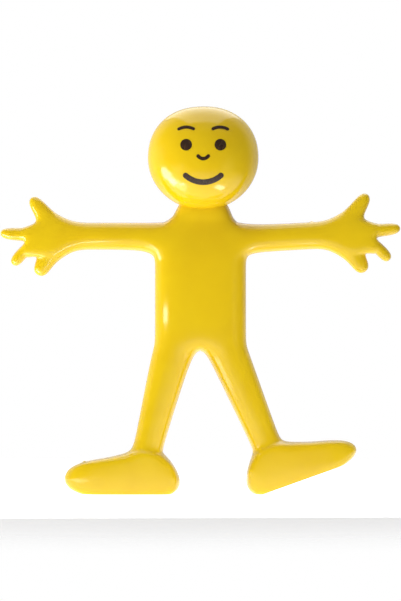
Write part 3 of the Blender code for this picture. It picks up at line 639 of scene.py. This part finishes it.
def build_vinyl():
    """Glossy soft vinyl: flow marks in the pigment, a faint swell, rubbed patches and fine scratches."""
    material, add, shader = new_material("yellow_vinyl")
    place_on = add("ShaderNodeTexCoord")
    flow = add(
        "ShaderNodeTexNoise",
        {"Vector": place_on.outputs["Object"]},
        {"Scale": 55.0, "Detail": 3.0, "Roughness": 0.5, "Distortion": 1.2},
    )
    depth = add(
        "ShaderNodeMapRange",
        {"Value": flow.outputs["Fac"]},
        {"From Min": 0.35, "From Max": 0.75, "To Max": 0.55},
    )
    tone = mix_colours(add, depth.outputs["Result"], VINYL_COLOUR, VINYL_DEEP_COLOUR)
    scuffs = add("ShaderNodeGroup", node_tree=scuffs_group, values={"Size": 700.0, "Amount": 0.3})
    gloss = add(
        "ShaderNodeMapRange",
        {"Value": scuffs.outputs["Rubbed"]},
        {"To Min": 0.13, "To Max": 0.24},
    )
    grain = add(
        "ShaderNodeTexNoise",
        {"Vector": place_on.outputs["Object"]},
        {"Scale": 420.0, "Detail": 2.0, "Roughness": 0.5},
    )
    swell = add(
        "ShaderNodeBump",
        {"Height": grain.outputs["Fac"]},
        {"Strength": 0.15, "Distance": 0.00003},
    )
    bump = add(
        "ShaderNodeBump",
        {"Height": scuffs.outputs["Scratches"], "Normal": swell.outputs["Normal"]},
        {"Strength": 0.1, "Distance": 0.00001},
        invert=True,
    )
    link_surface(material, shader, tone, gloss.outputs["Result"], bump.outputs["Normal"])
    shader.inputs["IOR"].default_value = VINYL_IOR
    return material


vinyl = build_vinyl()
SMOOTH_ANGLE = math.radians(50.0)  # edges flatter than this are shaded smooth


def take_length(name, cuts, seed):
    """One length of the moulding, cut square and closed where its neighbours begin.

    Each cut is a point and the direction that is cut away, and the part nearest to the seed stays.
    """
    piece = moulding.copy()
    piece.data = moulding.data.copy()
    piece.name = name
    bpy.context.scene.collection.objects.link(piece)
    pick_object(piece)
    bpy.ops.object.mode_set(mode="EDIT")
    for point, outward in cuts:
        bpy.ops.mesh.select_all(action="SELECT")
        bpy.ops.mesh.bisect(
            plane_co=point, plane_no=outward, clear_outer=True, use_fill=True, threshold=CUT_THRESHOLD
        )
    pick_nearest_vertex(seed)
    bpy.ops.mesh.select_linked()
    bpy.ops.mesh.select_all(action="INVERT")
    bpy.ops.mesh.delete(type="VERT")
    bpy.ops.object.mode_set(mode="OBJECT")
    bpy.ops.object.shade_smooth_by_angle(angle=SMOOTH_ANGLE)
    piece.data.materials.clear()
    piece.data.materials.append(vinyl)
    return piece


# Each zone reaches this far to either side of its joint
HIP_ZONE = 0.0047
KNEE_ZONE = 0.0034
SHOULDER_ZONE_SHARE = 0.17
SHOULDER_ZONE = ARM_LENGTH * SHOULDER_ZONE_SHARE
NECK_ZONE = 0.0014
NECK_GAP = 0.0003  # the neck's bend starts this far above the arms
SHOULDER_SEAM = 0.0010  # the arm's lift ends, and its swing starts, this far past the shoulder's centre


def crossing_of_hips():
    """How far aside the planes on which the two legs start cross, just above the crotch."""
    right = leg_direction(RIGHT)
    left = leg_direction(LEFT)
    right_reach = right.dot(leg_point(RIGHT, -HIP_ZONE))
    left_reach = left.dot(leg_point(LEFT, -HIP_ZONE))
    return (right_reach * left.z - left_reach * right.z) / (right.x * left.z - left.x * right.z)


neck_start = place(0.0, ARM_TOP + NECK_GAP)
neck_centre = place(0.0, ARM_TOP + NECK_ZONE + NECK_GAP)
waist_centre = place(0.0, ARM_HEIGHT - WAIST_BELOW_ARMS)

torso_cuts = [(neck_start, UP)]
for side in SIDES.values():
    torso_cuts.append((arm_point(side, SHOULDER_OUT - SHOULDER_ZONE), arm_direction(side)))
    torso_cuts.append((leg_point(side, -HIP_ZONE), leg_direction(side)))
torso = take_length("skin_torso", torso_cuts, waist_centre)
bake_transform(torso)
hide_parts("pelvis", "waist", "chest")

neck_base = take_length("skin_neck_base", [(neck_start, -UP), (neck_centre, UP)], neck_centre)
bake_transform(neck_base)
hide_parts("neck")
neck_top = take_length("skin_neck_top", [(neck_centre, -UP)], neck_centre)
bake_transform(neck_top)

for name, side in SIDES.items():
    arm = arm_direction(side)
    shoulder_start = arm_point(side, SHOULDER_OUT - SHOULDER_ZONE)
    shoulder = arm_point(side, SHOULDER_OUT)
    elbow = arm_point(side, ELBOW_OUT)
    wrist = arm_point(side, WRIST_OUT)
    shoulder_seam = shoulder + arm * SHOULDER_SEAM
    mid_fore = (elbow + wrist) / 2
    mid_upper = elbow * 2 - mid_fore
    bend_body = "shoulder_bend_" + name
    upper_body = "upper_arm_" + name
    runs = (
        ("skin_shoulder_", shoulder_start, shoulder_seam, "chest", bend_body, "shoulder_"),
        ("skin_upper_arm_", shoulder_seam, mid_upper, bend_body, upper_body, "upper_arm_"),
        ("skin_elbow_", mid_upper, mid_fore, upper_body, "forearm_" + name, "elbow_"),
    )
    for title, start, stop, first_body, next_body, node in runs:
        piece = take_length(title + name, [(start, -arm), (stop, arm)], (start + stop) / 2)
        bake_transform(piece)
        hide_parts(node + name)
    hand = take_length("skin_hand_" + name, [(mid_fore, -arm)], wrist)
    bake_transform(hand)
    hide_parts("forearm_" + name, "wrist_" + name, "hand_" + name)

    leg = leg_direction(side)
    hip_start = leg_point(side, -HIP_ZONE)
    hip = leg_point(side, 0.0)
    knee = leg_point(side, (LEG_LENGTH + HIP_ZONE - ANKLE_ZONE) / 2)
    ankle = leg_point(side, LEG_LENGTH)
    mid_thigh = (hip + leg * HIP_ZONE + knee - leg * KNEE_ZONE) / 2
    mid_shin = (knee + leg * KNEE_ZONE + ankle - leg * ANKLE_ZONE) / 2
    crotch = (place(crossing_of_hips(), 0.0), Vector((-side, 0.0, 0.0)))
    runs = (
        ("skin_hip_", hip_start, hip, "pelvis", "hip_bend_" + name, "hip_"),
        ("skin_thigh_", hip, mid_thigh, "hip_bend_" + name, "thigh_" + name, "thigh_"),
        ("skin_knee_", mid_thigh, mid_shin, "thigh_" + name, "shin_" + name, "knee_"),
    )
    for title, start, stop, first_body, next_body, node in runs:
        cuts = [(start, -leg), (stop, leg), crotch]
        piece = take_length(title + name, cuts, (start + stop) / 2)
        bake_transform(piece)
        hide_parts(node + name)
    foot = take_length("skin_foot_" + name, [(mid_shin, -leg), crotch], ankle)
    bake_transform(foot)
    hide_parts("shin_" + name, "ankle_" + name, "foot_" + name)
bpy.data.objects.remove(moulding)


# Head ball
# A ball of the same vinyl, a little wider than high and flatter from front to back, moulded over the wire
# loop and seated on the neck. Its own parting line runs round it beside the face.

HEAD_WIDTH = 0.0288
HEAD_DEPTH = 0.0240
HEAD_HEIGHT = 0.0269
CROWN_FULLNESS = 2.2  # how full the ball is above its middle, where 2 is a plain ball
PARTING_TURN = math.radians(14.0)  # the parting line comes this far forward on the doll's left
HEAD_CENTRE = Vector((HEAD_ASIDE, 0.0, ARM_TOP + HEAD_OVER_SHOULDERS + HEAD_HEIGHT / 2))
HEAD_SEGMENTS = 96
HEAD_RINGS = 64

bpy.ops.object.select_all(action="DESELECT")
bpy.ops.mesh.primitive_uv_sphere_add(
    segments=HEAD_SEGMENTS, ring_count=HEAD_RINGS, radius=1.0, rotation=(math.pi / 2, 0.0, -PARTING_TURN)
)
head = bpy.context.object
head.name = "head_ball"
bpy.ops.object.transform_apply(location=False, rotation=True, scale=True)
for vert in head.data.vertices:
    if vert.co.z > 0:
        girth = math.hypot(vert.co.x, vert.co.y)
        vert.co *= (girth**CROWN_FULLNESS + vert.co.z**CROWN_FULLNESS) ** (-1 / CROWN_FULLNESS)
head.scale = (HEAD_WIDTH / 2, HEAD_DEPTH / 2, HEAD_HEIGHT / 2)
bpy.ops.object.transform_apply(location=False, rotation=False, scale=True)
head.location = HEAD_CENTRE
bpy.ops.object.transform_apply(location=True, rotation=False, scale=False)
bpy.ops.object.mode_set(mode="EDIT")
across_parting = Vector((math.sin(PARTING_TURN) / HEAD_WIDTH, math.cos(PARTING_TURN) / HEAD_DEPTH, 0.0))
raise_parting_line(HEAD_CENTRE, across_parting.normalized())
bpy.ops.object.mode_set(mode="OBJECT")
bpy.ops.object.shade_smooth()
head.data.materials.append(vinyl)
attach(head, "head")
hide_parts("head")


# Face print
# Brows, eyes, nose and mouth, pad-printed on the head in one dark brown ink. The pad drags the ink, so it
# has fine lighter streaks. Each is a thin film that follows the ball.

INK_RISE = 0.00004
INK_THICKNESS = 0.00003
EYE_RADIUS = 0.0015
EYE_OUT = 0.0044
EYE_UP = 0.0030
EYE_CORNERS = 32
EYE_INSETS = 3  # rings inside an eye, which let it follow the ball
BROW_RADIUS = 0.0040
BROW_UP = 0.0036
BROW_WIDTH = 0.0008
BROW_ARC = (62.0, 118.0)  # degrees, as the other arcs, from the doll's left upwards
BROW_STEPS = 16
NOSE_RADIUS = 0.0016
NOSE_DOWN = 0.0006
NOSE_WIDTH = 0.0009
NOSE_ARC = (215.0, 325.0)
NOSE_STEPS = 14
MOUTH_RADIUS = 0.0068
MOUTH_UP = 0.0002
MOUTH_WIDTH = 0.0014
MOUTH_ARC = (228.0, 312.0)
MOUTH_STEPS = 36
END_STEPS = 10  # round each end of a stroke
ACROSS_SHARES = (-0.5, -0.25, 0.0, 0.25, 0.5)  # places of a stroke's points across it
MERGE_SHARE = 0.005  # points closer than this share of a stroke's width are one
FILM_EDGE_ANGLE = math.radians(40.0)
INK_COLOUR = (0.035, 0.017, 0.010, 1.0)
INK_THIN_COLOUR = (0.11, 0.055, 0.020, 1.0)


def build_ink():
    """Pad-printed ink: dark brown, thinner and streaked where the pad dragged, with a satin shine."""
    material, add, shader = new_material("face_ink")
    place_on = add("ShaderNodeTexCoord")
    drawn = add(
        "ShaderNodeMapping",
        {"Vector": place_on.outputs["Object"]},
        {"Scale": (1.0, 1.0, 0.12), "Rotation": (0.0, 0.25, 0.0)},
    )
    streaks = add(
        "ShaderNodeTexNoise",
        {"Vector": drawn.outputs["Vector"]},
        {"Scale": 3200.0, "Detail": 3.0, "Roughness": 0.65},
    )
    thin = add(
        "ShaderNodeMapRange",
        {"Value": streaks.outputs["Fac"]},
        {"From Min": 0.52, "From Max": 0.70, "To Max": 0.75},
    )
    tone = mix_colours(add, thin.outputs["Result"], INK_COLOUR, INK_THIN_COLOUR)
    scuffs = add("ShaderNodeGroup", node_tree=scuffs_group, values={"Size": 900.0, "Amount": 0.6})
    gloss = add(
        "ShaderNodeMapRange",
        {"Value": scuffs.outputs["Rubbed"]},
        {"To Min": 0.2, "To Max": 0.36},
    )
    bump = add(
        "ShaderNodeBump",
        {"Height": streaks.outputs["Fac"]},
        {"Strength": 0.3, "Distance": 0.00001},
    )
    link_surface(material, shader, tone, gloss.outputs["Result"], bump.outputs["Normal"])
    return material


ink = build_ink()


def before_face(x, z):
    """A point in front of the ball, so far aside and up from its middle."""
    return HEAD_CENTRE + Vector((x, -HEAD_DEPTH, z))


def start_ink(name, middle, radius):
    """A new flat disc in front of the face, in edit mode."""
    bpy.ops.object.select_all(action="DESELECT")
    bpy.ops.mesh.primitive_circle_add(
        vertices=EYE_CORNERS,
        radius=radius,
        fill_type="NGON",
        location=middle,
        rotation=(math.pi / 2, 0.0, 0.0),
    )
    film = bpy.context.object
    film.name = name
    bpy.ops.object.transform_apply(location=True, rotation=True, scale=True)
    bpy.ops.object.mode_set(mode="EDIT")
    return film


def lay_on_head(film):
    """Press a flat film onto the ball, give it its thickness and its ink."""
    apply_modifier(
        film,
        "press",
        "SHRINKWRAP",
        target=head,
        wrap_method="PROJECT",
        use_project_y=True,
        use_negative_direction=True,
        use_positive_direction=True,
        offset=INK_RISE,
    )
    apply_modifier(film, "body", "SOLIDIFY", thickness=INK_THICKNESS, offset=1.0)
    bpy.ops.object.shade_smooth_by_angle(angle=FILM_EDGE_ANGLE)
    film.data.materials.clear()
    film.data.materials.append(ink)
    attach(film, "head")


def print_dot(name, x, z, radius):
    """A round dot of ink."""
    film = start_ink(name, before_face(x, z), radius)
    bpy.ops.mesh.select_all(action="SELECT")
    for _ in range(EYE_INSETS):
        bpy.ops.mesh.inset(thickness=radius / (EYE_INSETS + 1))
    bpy.ops.mesh.poke()
    lay_on_head(film)
    return film


def print_stroke(name, x, z, radius, arc, width, steps):
    """An arc of ink with round ends, spun from one short edge."""
    start, stop = (math.radians(angle) for angle in arc)
    middle = before_face(x, z)
    film = start_ink(name, middle, radius)
    bpy.ops.mesh.select_all(action="SELECT")
    bpy.ops.mesh.delete(type="VERT")

    def at_angle(angle):
        """The direction outwards at an angle of the arc."""
        return Vector((math.cos(angle), 0.0, math.sin(angle)))

    def spin_across(angle, centre, turn, count):
        """Spin the short edge across the stroke at an angle of its arc, about a centre."""
        outward = at_angle(angle)
        shape = bmesh.from_edit_mesh(film.data)
        bpy.ops.mesh.select_all(action="DESELECT")
        verts = [shape.verts.new(middle + outward * (radius + width * share)) for share in ACROSS_SHARES]
        for vert in verts:
            vert.select_set(True)
        for first, second in zip(verts, verts[1:]):
            shape.edges.new((first, second)).select_set(True)
        bmesh.update_edit_mesh(film.data)
        bpy.ops.mesh.spin(steps=count, angle=turn, center=centre, axis=BACK)

    spin_across(start, middle, stop - start, steps)
    spin_across(start, middle + at_angle(start) * radius, -math.pi, END_STEPS)
    spin_across(stop, middle + at_angle(stop) * radius, math.pi, END_STEPS)
    bpy.ops.mesh.select_all(action="SELECT")
    bpy.ops.mesh.remove_doubles(threshold=width * MERGE_SHARE)
    bpy.ops.mesh.normals_make_consistent(inside=False)
    shape = bmesh.from_edit_mesh(film.data)
    if sum(face.normal.y for face in shape.faces) > 0:
        bpy.ops.mesh.flip_normals()
    lay_on_head(film)
    return film


for name, side in SIDES.items():
    eye = print_dot("ink_eye_" + name, side * EYE_OUT, EYE_UP, EYE_RADIUS)
    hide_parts("eye_" + name)
    brow_out = side * EYE_OUT
    brow = print_stroke(
        "ink_brow_" + name, brow_out, BROW_UP, BROW_RADIUS, BROW_ARC, BROW_WIDTH, BROW_STEPS
    )
    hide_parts("brow_" + name)
nose_up = NOSE_RADIUS - NOSE_DOWN
nose = print_stroke("ink_nose", 0.0, nose_up, NOSE_RADIUS, NOSE_ARC, NOSE_WIDTH, NOSE_STEPS)
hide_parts("nose")
mouth = print_stroke("ink_mouth", 0.0, MOUTH_UP, MOUTH_RADIUS, MOUTH_ARC, MOUTH_WIDTH, MOUTH_STEPS)
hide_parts("mouth")


# Floor and light
# A white table that fades into a white room, lit by softboxes overhead, at the left and low in front, where
# left and right are the camera's. The table also glows, painted light from no lamp, which lights the doll
# from below and is dimmer in front of it. Some windows and panels only show in the gloss. The room is white
# behind the doll and dim in front of it.

FLOOR_SIZE = 0.8
FLOOR_FADE = (0.08, 0.22)  # the table is whole inside the first radius and gone beyond the second
FLOOR_COLOUR = (0.75, 0.75, 0.75, 1.0)
# Painted light: the table's own glow, no lamp, lights the doll from below
FLOOR_GLOW = 0.95
FLOOR_GLOW_IN_FRONT = 0.25
FLOOR_FRONT = (-0.09, -0.01)  # the glow rises between these places in front of the doll
FLOOR_ROUGHNESS = 0.7
WHITE = (1.0, 1.0, 1.0, 1.0)
ROOM_LEVEL = 0.04
ROOM_IN_GLOSS_IN_FRONT = 0.14
ROOM_IN_GLOSS_BEHIND = 0.75
ROOM_TURN = (0.1, 0.5)  # from the dark side in front to the white side behind, by the direction's y

bpy.ops.object.select_all(action="DESELECT")
bpy.ops.mesh.primitive_plane_add(size=FLOOR_SIZE, location=(0.0, 0.0, 0.0))
floor = bpy.context.object
floor.name = "floor"
floor_material, add, shader = new_material("white_table")
floor_links = floor_material.node_tree.links
place_on = add("ShaderNodeTexCoord")
radius = add("ShaderNodeVectorMath", {0: place_on.outputs["Object"]}, operation="LENGTH")
fade = add(
    "ShaderNodeMapRange",
    {"Value": radius.outputs["Value"]},
    {"From Min": FLOOR_FADE[0], "From Max": FLOOR_FADE[1], "To Min": 1.0, "To Max": 0.0},
    interpolation_type="SMOOTHSTEP",
)
floor_links.new(fade.outputs["Result"], shader.inputs["Alpha"])
forth = add("ShaderNodeSeparateXYZ", {"Vector": place_on.outputs["Object"]})
glow = add(
    "ShaderNodeMapRange",
    {"Value": forth.outputs["Y"]},
    {
        "From Min": FLOOR_FRONT[0],
        "From Max": FLOOR_FRONT[1],
        "To Min": FLOOR_GLOW_IN_FRONT,
        "To Max": FLOOR_GLOW,
    },
)
# Painted light: the table glows, dimmer in front of the doll, and so lights it from below
floor_links.new(glow.outputs["Result"], shader.inputs["Emission Strength"])
shader.inputs["Base Color"].default_value = FLOOR_COLOUR
shader.inputs["Roughness"].default_value = FLOOR_ROUGHNESS
shader.inputs["Specular IOR Level"].default_value = 0.0
shader.inputs["Emission Color"].default_value = WHITE
floor.data.materials.append(floor_material)

# Name, place, what it faces, width and height, power, and whether it shows in matt and in glossy surfaces
LIGHTS = (
    ("softbox_above", (0.0, -0.06, 0.62), (0.0, 0.0, 0.05), (1.0, 0.6), 3.55, True, False),
    ("softbox_low_left", (-0.35, -0.30, -0.15), (0.0, 0.0, 0.08), (0.25, 0.25), 2.2, True, False),
    ("softbox_low_right", (0.35, -0.30, -0.15), (0.0, 0.0, 0.08), (0.25, 0.25), 0.40, True, False),
    ("softbox_right", (0.20, -0.20, 0.02), (0.0, 0.0, 0.035), (0.1, 0.1), 0.078, True, False),
    ("softbox_floor", (0.005, -0.10, 0.002), (0.0, 0.0, 0.045), (0.12, 0.05), 0.056, True, False),
    ("softbox_side", (-0.40, 0.05, 0.06), (0.0, 0.0, 0.05), (0.25, 0.25), 1.1, True, False),
    ("window_overhead", (0.0, 0.19, 0.51), (0.0, 0.0, 0.05), (0.46, 0.74), 1.75, False, True),
    ("panel_left", (-0.095, -0.022, 0.012), (-0.095, -0.022, 0.10), (0.050, 0.034), 0.050, False, True),
    ("panel_far_left", (-0.205, -0.024, 0.012), (-0.205, -0.024, 0.10), (0.170, 0.070), 0.37, False, True),
    ("slot_left", (-0.030, -0.021, 0.0465), (-0.0098, -0.004, 0.0465), (0.012, 0.004), 0.0016, False, True),
    ("panel_floor_left", (-0.080, -0.030, 0.001), (-0.080, -0.030, 0.10), (0.08, 0.04), 0.03, False, True),
    ("panel_floor_right", (0.041, -0.033, 0.003), (0.003, -0.009, 0.080), (0.03, 0.02), 0.0016, False, True),
)
PANEL_SPREAD = math.radians(60.0)  # keeps this panel's reflection on the head and the left arm
for name, spot, aim, size, power, in_matt, in_gloss in LIGHTS:
    bpy.ops.object.light_add(type="AREA", location=spot)
    lamp = bpy.context.object
    lamp.name = name
    lamp.data.shape = "RECTANGLE"
    lamp.data.size = size[0]
    lamp.data.size_y = size[1]
    lamp.data.energy = power
    lamp.rotation_euler = (Vector(aim) - Vector(spot)).to_track_quat("-Z", "Y").to_euler()
    lamp.visible_camera = False
    lamp.visible_diffuse = in_matt
    lamp.visible_glossy = in_gloss
bpy.data.objects["panel_floor_right"].data.spread = PANEL_SPREAD

world = bpy.data.worlds.new("white_room")
bpy.context.scene.world = world
world.use_nodes = True
add = node_maker(world.node_tree)
background = world.node_tree.nodes["Background"]
path = add("ShaderNodeLightPath")
direction = add("ShaderNodeTexCoord")
heading = add("ShaderNodeSeparateXYZ", {"Vector": direction.outputs["Generated"]})
reflected = add(
    "ShaderNodeMapRange",
    {"Value": heading.outputs["Y"]},
    {
        "From Min": ROOM_TURN[0],
        "From Max": ROOM_TURN[1],
        "To Min": ROOM_IN_GLOSS_IN_FRONT,
        "To Max": ROOM_IN_GLOSS_BEHIND,
    },
)
lit = add(
    "ShaderNodeMapRange",
    {"Value": path.outputs["Is Glossy Ray"], "To Max": reflected.outputs["Result"]},
    {"To Min": ROOM_LEVEL},
)
seen = add(
    "ShaderNodeMath",
    {0: path.outputs["Is Camera Ray"], 1: path.outputs["Is Transmission Ray"]},
    operation="MAXIMUM",
)
level = add(
    "ShaderNodeMath",
    {0: lit.outputs["Result"], 1: seen.outputs["Value"]},
    operation="MAXIMUM",
)
world.node_tree.links.new(level.outputs["Value"], background.inputs["Strength"])
background.inputs["Color"].default_value = WHITE
bpy.context.scene.view_settings.view_transform = "Standard"
